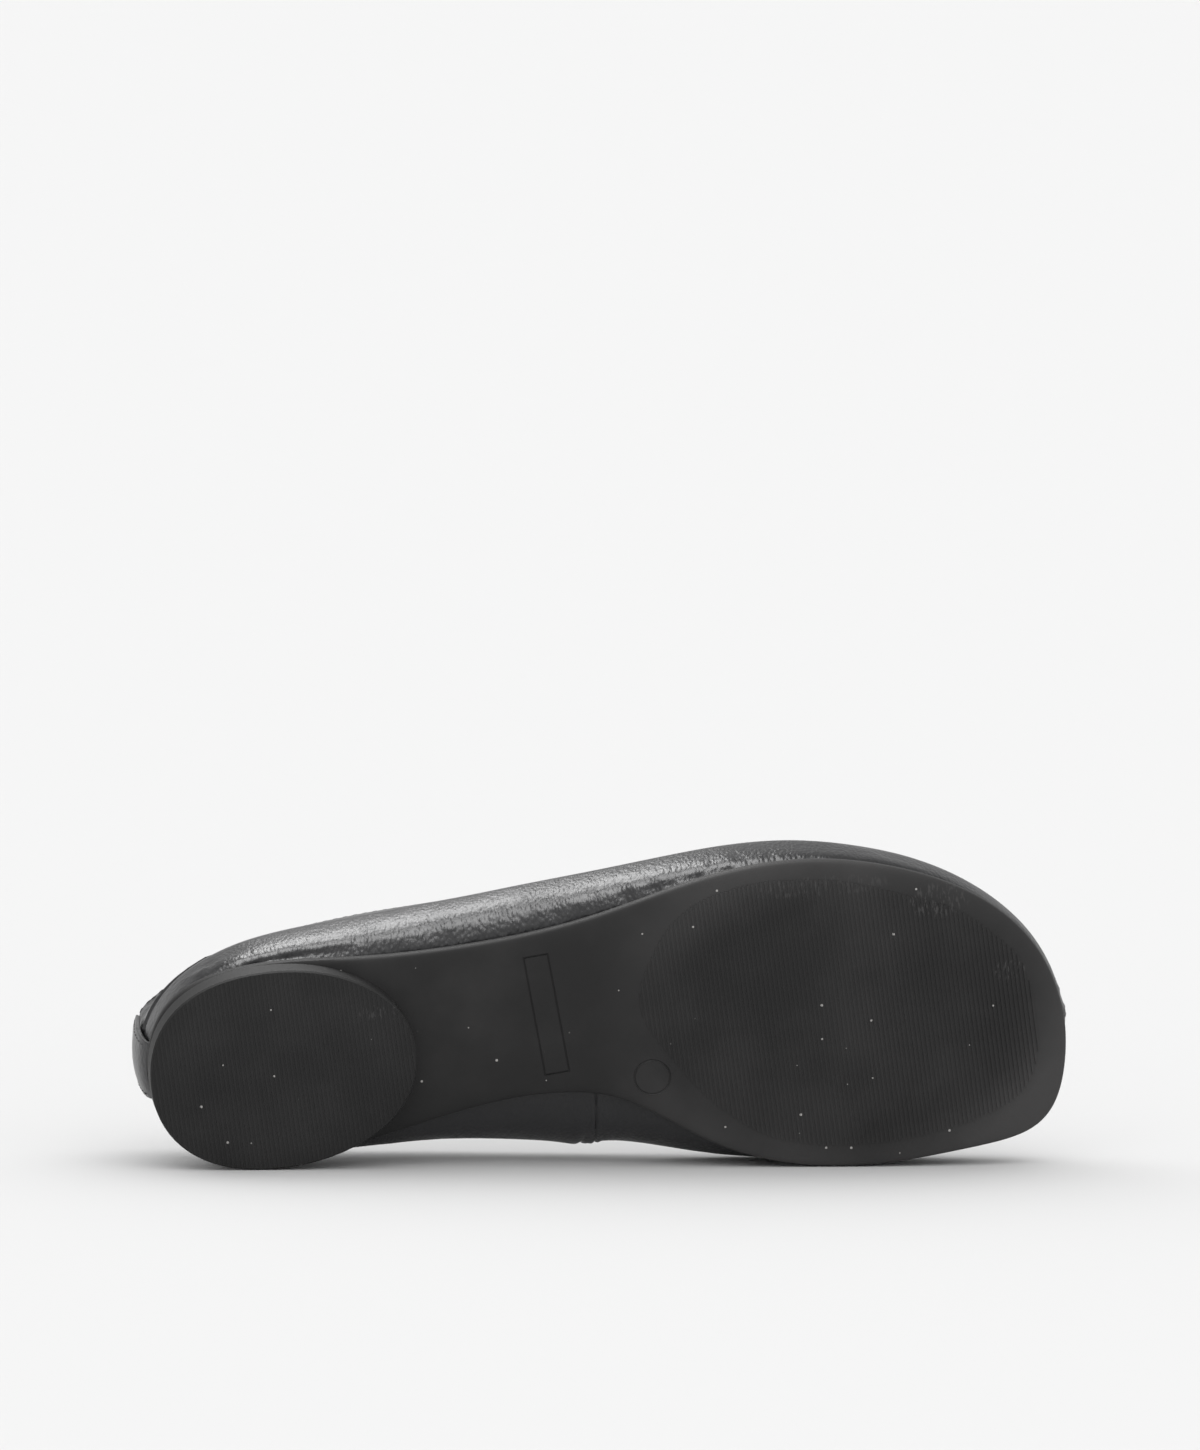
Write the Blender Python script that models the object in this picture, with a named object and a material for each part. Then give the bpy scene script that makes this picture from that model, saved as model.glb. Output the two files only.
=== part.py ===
"""A leather ballet flat for the right foot, lying on its inner side.

The shoe is modelled as it stands: +X runs from the heel to the toe, +Y to the wearer's inner side
and +Z up, with the heel's underside and the ball of the sole on z = 0. It is then laid down on the
face that it comes to rest on by itself.
"""
from collections import namedtuple
import math

import bmesh
import bpy
from mathutils import Matrix, Vector
import numpy as np

# Driving sizes, in metres
SOLE_LENGTH = 0.246
BALL_WIDTH = 0.086
INSTEP_HEIGHT = 0.042
HEEL_HEIGHT = 0.0075
SOLE_THICKNESS = 0.0035
TOE_SPRING = 0.0078
HEEL_LENGTH = 0.0713
HEEL_WIDTH = 0.0546
UPPER_WALL = 0.0018
INSOLE_THICKNESS = 0.0032
STRIP_WIDTH = 0.0155
STRIP_THICKNESS = 0.0013

# Clearances and small radii
GAP = 0.0003
RIM_SHARE = 0.85
MARGIN = 0.0025
SOLE_EDGE_BEVEL = 0.0006
HEEL_EDGE_BEVEL = 0.0004
INSOLE_EDGE_BEVEL = 0.0005

# The walking line, in shares of the sole's length
BALL_START = 0.68
BALL_END = 0.78

# The heel block's oval, which bows forward in its middle and starts just inside the sole's back edge
HEEL_ROUNDNESS = 2.15
HEEL_TURN = math.radians(-2.6)
HEEL_ACROSS = -0.0376
HEEL_BOW = 0.0028
HEEL_INSET = 0.0002

# The middle of the sole at the heel, the waist and the toes, in shares of its length and ball width
MIDDLE_PLACES = ((0.12, -0.038), (0.45, -0.15), (0.86, -0.04))

# Seams and folded edges of the upper
FRONT_SEAM_ACROSS = 0.016
SIDE_SEAM_ALONG = 0.4865
STRIP_ACROSS = -0.023
SEAM_RIDGE = 0.0009
SEAM_RIDGE_HALF = 0.0017
SEAM_SWELL = 0.0012
SEAM_SWELL_HALF = 0.0075
SEAM_SLIT = 0.0011
SEAM_SLIT_HALF = 0.0009
FOLD_WIDTH = 0.0055
FOLD_STEP = 0.0008
FOLD_RISE = 0.0005
FOLD_CROWN = 0.35

# How full the wall is: the curve under its belly and the pull of its shoulder
TURN_ROUNDNESS = 2.6
WALL_FULLNESS = 0.62

# How finely the forms are cut
RING_COUNT = 80
HEEL_SIDES = 72
STRIP_COLUMNS = 8

# One row for each section, going round the shoe from the back of the heel along the inner side.
# along and across place the sole's edge, in shares of the sole's length and the ball's width.
# swell is how far the upper turns out past that edge just over the sole, and lean how much further
# it leans out above, in shares of the ball's width. belly is the height where it is widest.
# top_along, top_across and top_height place the topline. Both heights are over the sole, in shares
# of the instep's height. shoulder is how high the wall rises before it turns in, in shares of the
# way from the belly to the topline.
Station = namedtuple("Station", "place along across swell lean belly top_along top_across top_height shoulder")
STATIONS = [
    Station("heel back", 0.000, -0.052, 0.006, 0.000, 0.31, 0.013, -0.049, 1.010, 0.12),
    Station("heel back, inner", 0.018, 0.126, 0.008, 0.000, 0.32, 0.033, 0.050, 1.000, 0.12),
    Station("heel, inner", 0.065, 0.253, 0.008, 0.000, 0.35, 0.075, 0.146, 0.980, 0.15),
    Station("heel front, inner", 0.146, 0.279, 0.024, 0.000, 0.40, 0.150, 0.214, 0.930, 0.22),
    Station("rear waist, inner", 0.236, 0.240, 0.067, 0.000, 0.43, 0.236, 0.258, 0.865, 0.35),
    Station("waist, inner", 0.341, 0.165, 0.157, 0.000, 0.45, 0.341, 0.290, 0.800, 0.32),
    Station("mid waist, inner", 0.447, 0.122, 0.224, 0.000, 0.47, 0.447, 0.308, 0.752, 0.32),
    Station("fore waist, inner", 0.512, 0.151, 0.199, 0.010, 0.47, 0.520, 0.306, 0.750, 0.32),
    Station("behind the ball, inner", 0.598, 0.290, 0.085, 0.036, 0.52, 0.602, 0.270, 0.800, 0.36),
    Station("ball, inner", 0.683, 0.384, 0.014, 0.050, 0.55, 0.665, 0.190, 0.885, 0.42),
    Station("big toe joint", 0.789, 0.412, 0.008, 0.046, 0.50, 0.701, 0.090, 0.955, 0.50),
    Station("big toe, inner", 0.902, 0.386, 0.010, 0.020, 0.38, 0.715, 0.017, 0.990, 0.52),
    Station("toe corner, inner", 0.978, 0.325, 0.006, 0.003, 0.25, 0.721, -0.017, 1.000, 0.50),
    Station("toe front, inner", 1.000, 0.170, 0.009, 0.000, 0.21, 0.723, -0.037, 1.000, 0.48),
    Station("toe front", 1.000, -0.012, 0.012, 0.000, 0.21, 0.723, -0.053, 1.000, 0.48),
    Station("toe corner, outer", 0.978, -0.205, 0.005, 0.000, 0.23, 0.722, -0.074, 1.000, 0.48),
    Station("toes, outer", 0.919, -0.398, -0.003, 0.000, 0.28, 0.717, -0.107, 0.995, 0.50),
    Station("little toe", 0.825, -0.533, 0.000, 0.000, 0.31, 0.701, -0.180, 0.976, 0.48),
    Station("ball, outer", 0.707, -0.587, 0.008, 0.000, 0.34, 0.661, -0.296, 0.917, 0.42),
    Station("behind the ball, outer", 0.610, -0.551, 0.028, 0.000, 0.35, 0.591, -0.380, 0.833, 0.34),
    Station("fore waist, outer", 0.496, -0.447, 0.075, 0.000, 0.36, 0.488, -0.415, 0.769, 0.28),
    Station("waist, outer", 0.366, -0.372, 0.090, 0.000, 0.36, 0.366, -0.388, 0.762, 0.25),
    Station("rear waist, outer", 0.228, -0.352, 0.060, 0.000, 0.37, 0.232, -0.336, 0.850, 0.20),
    Station("heel, outer", 0.098, -0.344, 0.010, 0.000, 0.33, 0.110, -0.240, 0.970, 0.12),
    Station("heel back, outer", 0.026, -0.251, -0.017, 0.000, 0.31, 0.043, -0.138, 0.995, 0.12),
]

# Weights by volume, in kilograms per cubic metre, for the way the shoe comes to rest
DENSITY = {"upper": 900, "outsole": 1150, "heel": 1150, "insole": 700, "back_strip": 900}


def smooth_step(value):
    """Return 0 below 0, 1 above 1 and a smooth rise between."""
    share = np.clip(value, 0.0, 1.0)
    return share * share * (3.0 - 2.0 * share)


def underside(along):
    """Return the height of the sole's underside: heel seat, arch, flat ball and toe spring."""
    breast = HEEL_LENGTH
    ball_start = BALL_START * SOLE_LENGTH
    ball_end = BALL_END * SOLE_LENGTH
    arch = HEEL_HEIGHT * (1.0 - smooth_step((along - breast) / (ball_start - breast)))
    spring = TOE_SPRING * np.maximum(0.0, (along - ball_end) / (SOLE_LENGTH - ball_end)) ** 2
    return arch + spring


def sole_top(along):
    """Return the height that the upper and the insole lie on."""
    return underside(along) + SOLE_THICKNESS + GAP


class ClosedCurve:
    """A smooth closed curve through rows of values, spaced by their distance along the sole's edge."""

    def __init__(self, rows, edge):
        self.rows = np.array(rows)
        steps = np.linalg.norm(np.roll(edge, -1, axis=0) - edge, axis=1)
        self.steps = steps
        self.starts = np.concatenate([[0.0], np.cumsum(steps)])
        self.length = self.starts[-1]
        count = len(steps)
        matrix = np.zeros((count, count))
        right = np.zeros_like(self.rows)
        for i in range(count):
            before, after = steps[i - 1], steps[i]
            following = (i + 1) % count
            matrix[i, i - 1] += before
            matrix[i, i] += 2.0 * (before + after)
            matrix[i, following] += after
            rise = (self.rows[following] - self.rows[i]) / after
            right[i] = 6.0 * (rise - (self.rows[i] - self.rows[i - 1]) / before)
        self.bends = np.linalg.solve(matrix, right)

    def at(self, places):
        """Return the values at distances along the edge."""
        places = np.mod(places, self.length)
        index = np.clip(np.searchsorted(self.starts, places, side="right") - 1, 0, len(self.steps) - 1)
        following = (index + 1) % len(self.steps)
        step = self.steps[index][:, None]
        past = (places - self.starts[index])[:, None]
        left = step - past
        bend_0, bend_1 = self.bends[index], self.bends[following]
        row_0, row_1 = self.rows[index], self.rows[following]
        curve = (bend_0 * left ** 3 + bend_1 * past ** 3) / (6.0 * step)
        curve += (row_0 / step - bend_0 * step / 6.0) * left
        curve += (row_1 / step - bend_1 * step / 6.0) * past
        return curve


def station_curve():
    """Return the closed curve of edge, swell, lean, belly, topline and shoulder."""
    rows = []
    for row in STATIONS:
        edge = (row.along * SOLE_LENGTH, row.across * BALL_WIDTH)
        wall = (row.swell * BALL_WIDTH, row.lean * BALL_WIDTH, row.belly * INSTEP_HEIGHT)
        topline = (row.top_along * SOLE_LENGTH, row.top_across * BALL_WIDTH, row.top_height * INSTEP_HEIGHT)
        rows.append(edge + wall + topline + (row.shoulder,))
    rows = np.array(rows)
    return ClosedCurve(rows, rows[:, :2])


CURVE = station_curve()


def edge_at(places):
    """Return the sole's edge and its outward direction at each place."""
    nudge = 0.0002
    edge = CURVE.at(places)[:, :2]
    run = CURVE.at(places + nudge)[:, :2] - CURVE.at(places - nudge)[:, :2]
    run /= np.linalg.norm(run, axis=1)[:, None]
    outward = np.stack([-run[:, 1], run[:, 0]], axis=1)
    return edge, outward


def find_place(column, target, start, end):
    """Return the distance along the edge, between two rows, where the edge's column has a value."""
    places = np.linspace(CURVE.starts[start], CURVE.starts[end], 400)
    values = CURVE.at(places)[:, column]
    return places[np.argmin(np.abs(values - target))]


def row_of(place):
    """Return a named section's place in the table."""
    return [row.place for row in STATIONS].index(place)


FRONT_SEAM = find_place(1, FRONT_SEAM_ACROSS * BALL_WIDTH, row_of("toe front, inner"), row_of("toe corner, outer"))
SIDE_SEAM = find_place(0, SIDE_SEAM_ALONG * SOLE_LENGTH, row_of("mid waist, inner"), row_of("behind the ball, inner"))
STRIP_CENTRE = find_place(1, STRIP_ACROSS * BALL_WIDTH, 0, row_of("heel back, inner"))


def ring_places():
    """Return the places of the upper's columns: even, and closer together at the seams."""
    near = 3.0 * SEAM_RIDGE_HALF
    even = np.arange(RING_COUNT) * CURVE.length / RING_COUNT
    keep = (np.abs(even - FRONT_SEAM) > near) & (np.abs(even - SIDE_SEAM) > near)
    front = FRONT_SEAM + SEAM_RIDGE_HALF * np.array([-2.0, -0.8, 0.8, 2.0])
    side = SIDE_SEAM + SEAM_SLIT_HALF * np.array([-3.6, -1.2, 0.0, 1.2, 3.6])
    return np.sort(np.concatenate([even[keep], front, side]))


def lay_on_sole(plan, rise):
    """Return points at a height over the sole."""
    return np.stack([plan[..., 0], plan[..., 1], sole_top(plan[..., 0]) + rise], axis=-1)


def low_wall(places, share, inner=0.0):
    """Return points where the upper turns up from under the shoe, from its margin to its belly.

    share goes from 0 to 1, and inner is how far the points lie inside the outer face.
    """
    values = CURVE.at(places)
    edge, outward = edge_at(places)
    foot = edge - outward * MARGIN
    reach = values[:, 2] + MARGIN - inner
    climb = values[:, 4] - inner
    angle = share * math.pi / 2.0
    power = 2.0 / TURN_ROUNDNESS
    rise = 1.0 - np.cos(angle) ** power
    out = reach * np.sin(angle) ** power + values[:, 3] * smooth_step(rise)
    up = climb * rise + inner
    return lay_on_sole(foot + outward * out[:, None], up)


def high_wall(places, share):
    """Return points of the outer face from the belly to the topline, share going from 0 to 1."""
    values = CURVE.at(places)
    belly = low_wall(places, np.ones(len(places)))
    topline = lay_on_sole(values[:, 5:7], values[:, 7])
    corner = belly.copy()
    corner[:, 2] += values[:, 8] * (topline[:, 2] - belly[:, 2])
    lift = belly + WALL_FULLNESS * (corner - belly)
    lead = topline + WALL_FULLNESS * (corner - topline)
    t = np.asarray(share)[:, None]
    u = 1.0 - t
    return u ** 3 * belly + 3.0 * u * u * t * lift + 3.0 * u * t * t * lead + t ** 3 * topline


def outer_face(places, level):
    """Return points of the outer face: level 0 is the margin, 1 the belly and 2 the topline."""
    low = low_wall(places, np.clip(level, 0.0, 1.0))
    high = high_wall(places, np.clip(level - 1.0, 0.0, 1.0))
    return np.where((level < 1.0)[:, None], low, high)


def outer_normal(places, level):
    """Return the outward directions of the upper's face above its belly."""
    along_step = 0.0003
    level_step = 0.002
    level = np.clip(level, 1.0 + level_step, 2.0 - level_step)
    run = outer_face(places + along_step, level) - outer_face(places - along_step, level)
    rise = outer_face(places, level + level_step) - outer_face(places, level - level_step)
    normal = np.cross(rise, run)
    return normal / np.linalg.norm(normal, axis=1)[:, None]


def wall_length(places):
    """Return the length of the upper's face from its belly to the topline."""
    samples = [high_wall(places, np.full(len(places), share)) for share in np.linspace(0.0, 1.0, 17)]
    return sum(np.linalg.norm(b - a, axis=1) for a, b in zip(samples, samples[1:]))


def relief(places, level, from_top):
    """Return how far seams and the folded edge stand out of the plain face."""
    to_front = places - FRONT_SEAM
    to_side = places - SIDE_SEAM
    ridge = SEAM_RIDGE * np.exp(-((to_front / SEAM_RIDGE_HALF) ** 2))
    swell = SEAM_SWELL * np.exp(-((to_side / SEAM_SWELL_HALF) ** 2))
    slit = SEAM_SLIT * np.exp(-((to_side / SEAM_SLIT_HALF) ** 2))
    fold = FOLD_RISE * (from_top <= FOLD_WIDTH)
    return (ridge + swell - slit) * smooth_step(level / 0.8) + fold


def face_levels(places):
    """Return the levels of the upper's rows and each row's distance from the topline."""
    length = wall_length(places)
    low = [np.full(len(places), level) for level in (0.0, 0.3, 0.55, 0.8)]
    plain = 1.0 - (FOLD_WIDTH + FOLD_STEP) / length
    high = [1.0 + plain * share for share in (0.0, 0.16, 0.33, 0.5, 0.67, 0.84, 1.0)]
    fold = [2.0 - distance / length for distance in (FOLD_WIDTH, FOLD_STEP, 0.0)]
    levels = low + high + fold
    distances = [np.full(len(places), 1.0)] * (len(levels) - len(fold))
    distances += [np.full(len(places), distance) for distance in (FOLD_WIDTH, FOLD_STEP, 0.0)]
    return levels, distances


def wall_ring(places, level, from_top, depth=0.0):
    """Return one ring of the upper's wall, depth being how far it lies under the outer face."""
    low = low_wall(places, np.clip(level, 0.0, 1.0), depth)
    _, outward = edge_at(places)
    level_out = np.stack([outward[:, 0], outward[:, 1], np.zeros(len(places))], axis=1)
    turn = smooth_step((level - 1.0) / 0.25)[:, None]
    normal = (1.0 - turn) * level_out + turn * outer_normal(places, level)
    normal /= np.linalg.norm(normal, axis=1)[:, None]
    high = high_wall(places, np.clip(level - 1.0, 0.0, 1.0)) - normal * depth
    points = np.where((level <= 1.0)[:, None], low, high)
    if not depth:
        points = points + normal * relief(places, level, from_top)[:, None]
    return points


def add_ring(mesh, points):
    """Add a ring of corners."""
    return [mesh.verts.new(point) for point in points]


def bridge_rings(mesh, lower, upper):
    """Join two rings of the same count with faces."""
    count = len(lower)
    for i in range(count):
        j = (i + 1) % count
        mesh.faces.new((lower[i], lower[j], upper[j], upper[i]))


def fill_ring(mesh, ring):
    """Close a ring with small triangles."""
    edges = [mesh.edges.get((ring[i - 1], ring[i])) for i in range(len(ring))]
    bmesh.ops.triangle_fill(mesh, use_beauty=True, use_dissolve=False, edges=edges)


def plain_material(name, colour, roughness):
    """Return a one-colour finish."""
    material = bpy.data.materials.new(name)
    material.use_nodes = True
    shader = material.node_tree.nodes["Principled BSDF"]
    shader.inputs["Base Color"].default_value = (*colour, 1.0)
    shader.inputs["Roughness"].default_value = roughness
    shader.inputs["Metallic"].default_value = 0.0
    return material


def add_piece(name, mesh, colour, roughness, sharp_angle=35.0):
    """Make an object from a closed mesh, with its faces pointing out."""
    bmesh.ops.remove_doubles(mesh, verts=mesh.verts, dist=0.000001)
    bmesh.ops.recalc_face_normals(mesh, faces=mesh.faces)
    data = bpy.data.meshes.new(name)
    mesh.to_mesh(data)
    mesh.free()
    data.shade_smooth()
    data.set_sharp_from_angle(angle=math.radians(sharp_angle))
    data.materials.append(plain_material(name, colour, roughness))
    piece = bpy.data.objects.new(name, data)
    SHOE.objects.link(piece)
    return piece


def make_upper():
    """Lasted leather upper: one hollow wall, open at the collar and underneath."""
    places = ring_places()
    levels, distances = face_levels(places)
    mesh = bmesh.new()
    outer = [add_ring(mesh, wall_ring(places, level, gap)) for level, gap in zip(levels, distances)]
    inner = [add_ring(mesh, wall_ring(places, level, gap, UPPER_WALL)) for level, gap in zip(levels, distances)]
    top_outer = wall_ring(places, levels[-1], distances[-1])
    top_inner = wall_ring(places, levels[-1], distances[-1], UPPER_WALL)
    below = wall_ring(places, levels[-2], distances[-2])
    rise = top_outer - below
    rise /= np.linalg.norm(rise, axis=1)[:, None]
    brow = add_ring(mesh, (top_outer + top_inner) / 2.0 + rise * UPPER_WALL * FOLD_CROWN)
    for ring, following in zip(outer, outer[1:]):
        bridge_rings(mesh, ring, following)
    for ring, following in zip(inner, inner[1:]):
        bridge_rings(mesh, ring, following)
    bridge_rings(mesh, outer[-1], brow)
    bridge_rings(mesh, brow, inner[-1])
    bridge_rings(mesh, inner[0], outer[0])
    return add_piece("upper", mesh, (0.012, 0.012, 0.013), 0.38)


def middle_line(edge):
    """Return the point of the shoe's middle line that is nearest to each point of an edge."""
    middles = [np.array([along * SOLE_LENGTH, across * BALL_WIDTH]) for along, across in MIDDLE_PLACES]
    best = None
    nearest = None
    for start, end in zip(middles, middles[1:]):
        run = end - start
        share = np.clip((edge - start) @ run / (run @ run), 0.0, 1.0)[:, None]
        point = start + share * run
        distance = np.linalg.norm(edge - point, axis=1)
        if best is None:
            best, nearest = distance, point
        else:
            closer = distance < best
            best = np.where(closer, distance, best)
            nearest = np.where(closer[:, None], point, nearest)
    return nearest


def make_outsole():
    """Moulded rubber sole: one thickness all over, with a rounded edge."""
    places = ring_places()
    edge, outward = edge_at(places)
    middle = middle_line(edge)
    inset = edge - outward * SOLE_EDGE_BEVEL
    shares = (0.25, 0.5, 0.75)

    def level_ring(plan, rise):
        return np.column_stack([plan, underside(plan[:, 0]) + rise])

    mesh = bmesh.new()
    rings = [level_ring(middle + (inset - middle) * share, 0.0) for share in shares]
    rings.append(level_ring(inset, 0.0))
    rings.append(level_ring(edge, SOLE_EDGE_BEVEL))
    rings.append(level_ring(edge, SOLE_THICKNESS - SOLE_EDGE_BEVEL))
    rings.append(level_ring(inset, SOLE_THICKNESS))
    rings += [level_ring(middle + (inset - middle) * share, SOLE_THICKNESS) for share in reversed(shares)]
    rings = [add_ring(mesh, ring) for ring in rings]
    for ring, following in zip(rings, rings[1:]):
        bridge_rings(mesh, ring, following)
    fill_ring(mesh, rings[0])
    fill_ring(mesh, rings[-1])
    return add_piece("outsole", mesh, (0.030, 0.029, 0.029), 0.62)


def make_insole():
    """Board and sock in one: it lies on the sole and over the upper's turned-in margin."""
    places = ring_places()
    edge, outward = edge_at(places)
    values = CURVE.at(places)
    seat = edge - outward * (MARGIN + GAP)
    over = UPPER_WALL + GAP
    climb = values[:, 4] - UPPER_WALL
    reach = values[:, 2] + MARGIN - UPPER_WALL
    level = np.clip((INSOLE_THICKNESS - UPPER_WALL) / climb, 0.0, 1.0)
    room = (1.0 - (1.0 - level) ** TURN_ROUNDNESS) ** (1.0 / TURN_ROUNDNESS)
    rim = seat + outward * (RIM_SHARE * reach * room)[:, None]
    middle = middle_line(edge)
    shares = (0.25, 0.5, 0.75)
    brim = rim - outward * INSOLE_EDGE_BEVEL
    mesh = bmesh.new()
    rings = [lay_on_sole(middle + (seat - middle) * share, 0.0) for share in shares]
    rings.append(lay_on_sole(seat, 0.0))
    rings.append(lay_on_sole(seat, over))
    rings.append(lay_on_sole(rim, INSOLE_THICKNESS))
    rings.append(lay_on_sole(brim, INSOLE_THICKNESS + INSOLE_EDGE_BEVEL))
    top = INSOLE_THICKNESS + INSOLE_EDGE_BEVEL
    rings += [lay_on_sole(middle + (brim - middle) * share, top) for share in reversed(shares)]
    rings = [add_ring(mesh, ring) for ring in rings]
    for ring, following in zip(rings, rings[1:]):
        bridge_rings(mesh, ring, following)
    fill_ring(mesh, rings[0])
    fill_ring(mesh, rings[-1])
    return add_piece("insole", mesh, (0.035, 0.033, 0.031), 0.6)


def make_heel():
    """Low oval heel block with a sharp lip and a flat underside."""
    mesh = bmesh.new()
    centre = np.array([HEEL_INSET + HEEL_LENGTH / 2.0 - HEEL_BOW, HEEL_ACROSS * BALL_WIDTH])
    angles = np.arange(HEEL_SIDES) * 2.0 * math.pi / HEEL_SIDES
    power = 2.0 / HEEL_ROUNDNESS

    def oval(inset, height):
        half_length = HEEL_LENGTH / 2.0 - inset
        half_width = HEEL_WIDTH / 2.0 - inset
        x = half_length * np.sign(np.cos(angles)) * np.abs(np.cos(angles)) ** power
        y = half_width * np.sign(np.sin(angles)) * np.abs(np.sin(angles)) ** power
        x = x + HEEL_BOW * (1.0 - (y / half_width) ** 2)
        turned_x = centre[0] + x * math.cos(HEEL_TURN) - y * math.sin(HEEL_TURN)
        turned_y = centre[1] + x * math.sin(HEEL_TURN) + y * math.cos(HEEL_TURN)
        return np.column_stack([turned_x, turned_y, np.full(HEEL_SIDES, height)])

    top = HEEL_HEIGHT - GAP
    profile = [(HEEL_EDGE_BEVEL, 0.0), (0.0, HEEL_EDGE_BEVEL), (0.0, top - HEEL_EDGE_BEVEL), (HEEL_EDGE_BEVEL, top)]
    rings = [add_ring(mesh, oval(inset, height)) for inset, height in profile]
    for ring, following in zip(rings, rings[1:]):
        bridge_rings(mesh, ring, following)
    mesh.faces.new(rings[0])
    mesh.faces.new(rings[-1])
    return add_piece("heel", mesh, (0.028, 0.027, 0.027), 0.58)


def make_back_strip():
    """Narrow stay sewn over the back seam, from the sole to just under the folded topline."""
    mesh = bmesh.new()
    half = STRIP_WIDTH / 2.0
    places = STRIP_CENTRE + np.linspace(-half, half, STRIP_COLUMNS + 1)
    length = wall_length(places)
    top = 2.0 - (FOLD_WIDTH + 0.002) / length
    levels = [np.full(len(places), level) for level in (0.4, 0.5, 0.62, 0.8, 1.0)]
    levels += [1.0 + (top - 1.0) * share for share in (0.2, 0.4, 0.6, 0.8, 1.0)]
    grids = []
    for lift in (GAP, GAP + STRIP_THICKNESS):
        grids.append([add_ring(mesh, wall_ring(places, level, np.ones(len(places)), -lift)) for level in levels])
    under, over = grids
    rows = len(levels)
    for grid in grids:
        for row in range(rows - 1):
            for column in range(STRIP_COLUMNS):
                a, b = grid[row][column], grid[row][column + 1]
                c, d = grid[row + 1][column + 1], grid[row + 1][column]
                mesh.faces.new((a, b, c, d))
    border = [(0, column) for column in range(STRIP_COLUMNS)]
    border += [(row, STRIP_COLUMNS) for row in range(rows - 1)]
    border += [(rows - 1, column) for column in range(STRIP_COLUMNS, 0, -1)]
    border += [(row, 0) for row in range(rows - 1, 0, -1)]
    for here, there in zip(border, border[1:] + border[:1]):
        corners = (under[here[0]][here[1]], under[there[0]][there[1]])
        corners += (over[there[0]][there[1]], over[here[0]][here[1]])
        mesh.faces.new(corners)
    return add_piece("back_strip", mesh, (0.012, 0.012, 0.013), 0.36)


def weight_point(pieces):
    """Return the centre of mass of the standing shoe."""
    total = 0.0
    moment = Vector((0.0, 0.0, 0.0))
    for piece in pieces:
        mesh = bmesh.new()
        mesh.from_mesh(piece.data)
        bmesh.ops.triangulate(mesh, faces=mesh.faces)
        for face in mesh.faces:
            a, b, c = [corner.co for corner in face.verts]
            weight = DENSITY[piece.name] * a.dot(b.cross(c)) / 6.0
            total += weight
            moment += weight * (a + b + c) / 4.0
        mesh.free()
    return moment / total


def resting_turn(pieces):
    """Return the turn that lays the shoe on its inner side, on the face that carries its weight."""
    centre = weight_point(pieces)
    hull = bmesh.new()
    for piece in pieces:
        for corner in piece.data.vertices:
            hull.verts.new(corner.co)
    bmesh.ops.convex_hull(hull, input=hull.verts)
    hull.normal_update()
    inner_side = Vector((0.0, 1.0, 0.0))
    best = None
    for face in hull.faces:
        normal = face.normal
        if normal.dot(inner_side) < 0.8:
            continue
        foot = centre - normal * (centre - face.verts[0].co).dot(normal)
        margins = []
        for corner in face.loops:
            start, end = corner.vert.co, corner.link_loop_next.vert.co
            inward = normal.cross(end - start).normalized()
            margins.append(inward.dot(foot - start))
        if best is None or min(margins) > best[0]:
            best = (min(margins), normal.copy())
    hull.free()
    down = best[1]
    forward = Vector((1.0, 0.0, 0.0))
    forward = (forward - down * forward.dot(down)).normalized()
    sideways = (-down).cross(forward)
    return Matrix((forward, sideways, -down)).to_4x4()


def lay_down(pieces):
    """Hang the pieces on one empty, lay it down and set the origin under the middle of the shoe."""
    turn = resting_turn(pieces)
    points = [turn @ corner.co for piece in pieces for corner in piece.data.vertices]
    low = Vector([min(point[axis] for point in points) for axis in range(3)])
    high = Vector([max(point[axis] for point in points) for axis in range(3)])
    shift = Vector((-(low.x + high.x) / 2.0, -(low.y + high.y) / 2.0, -low.z))
    holder = bpy.data.objects.new("shoe_lying_down", None)
    SHOE.objects.link(holder)
    holder.matrix_world = Matrix.Translation(shift) @ turn
    for piece in pieces:
        piece.parent = holder
    bpy.context.view_layer.update()


for old in list(bpy.data.objects):
    bpy.data.objects.remove(old, do_unlink=True)
SHOE = bpy.data.collections.new("ballet_flat")
bpy.context.scene.collection.children.link(SHOE)
PIECES = [make_upper(), make_outsole(), make_heel(), make_insole(), make_back_strip()]
lay_down(PIECES)
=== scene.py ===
import math

import bpy
from mathutils import Euler, Matrix, Vector, noise
from mathutils.bvhtree import BVHTree


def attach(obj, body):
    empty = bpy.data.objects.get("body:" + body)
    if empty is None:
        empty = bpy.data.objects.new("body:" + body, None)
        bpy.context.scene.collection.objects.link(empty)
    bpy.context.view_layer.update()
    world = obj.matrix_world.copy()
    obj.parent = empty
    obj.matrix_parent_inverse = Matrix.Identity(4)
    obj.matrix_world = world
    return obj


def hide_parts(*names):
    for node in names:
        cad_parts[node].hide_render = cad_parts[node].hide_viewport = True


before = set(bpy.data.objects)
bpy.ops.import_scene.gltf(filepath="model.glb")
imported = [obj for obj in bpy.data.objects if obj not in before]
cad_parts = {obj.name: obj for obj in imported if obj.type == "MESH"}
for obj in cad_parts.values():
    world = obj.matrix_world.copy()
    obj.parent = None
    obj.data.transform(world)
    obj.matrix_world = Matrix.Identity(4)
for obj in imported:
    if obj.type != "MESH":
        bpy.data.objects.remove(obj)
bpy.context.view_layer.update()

# Upper
# The upper is one layer of smooth black leather, wetted and pulled over a last, with its edge glued
# under the insole. It is closed by a seam at the tip of the toe and one at the inner waist.
LYING = Matrix.Translation((-0.1222432, -0.0224352, 0.0214936))
LYING = LYING @ Euler((math.radians(-79.30712), math.radians(-4.03293), 0.0)).to_matrix().to_4x4()
LEATHER_BLACK = (0.013, 0.013, 0.014, 1.0)
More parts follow.
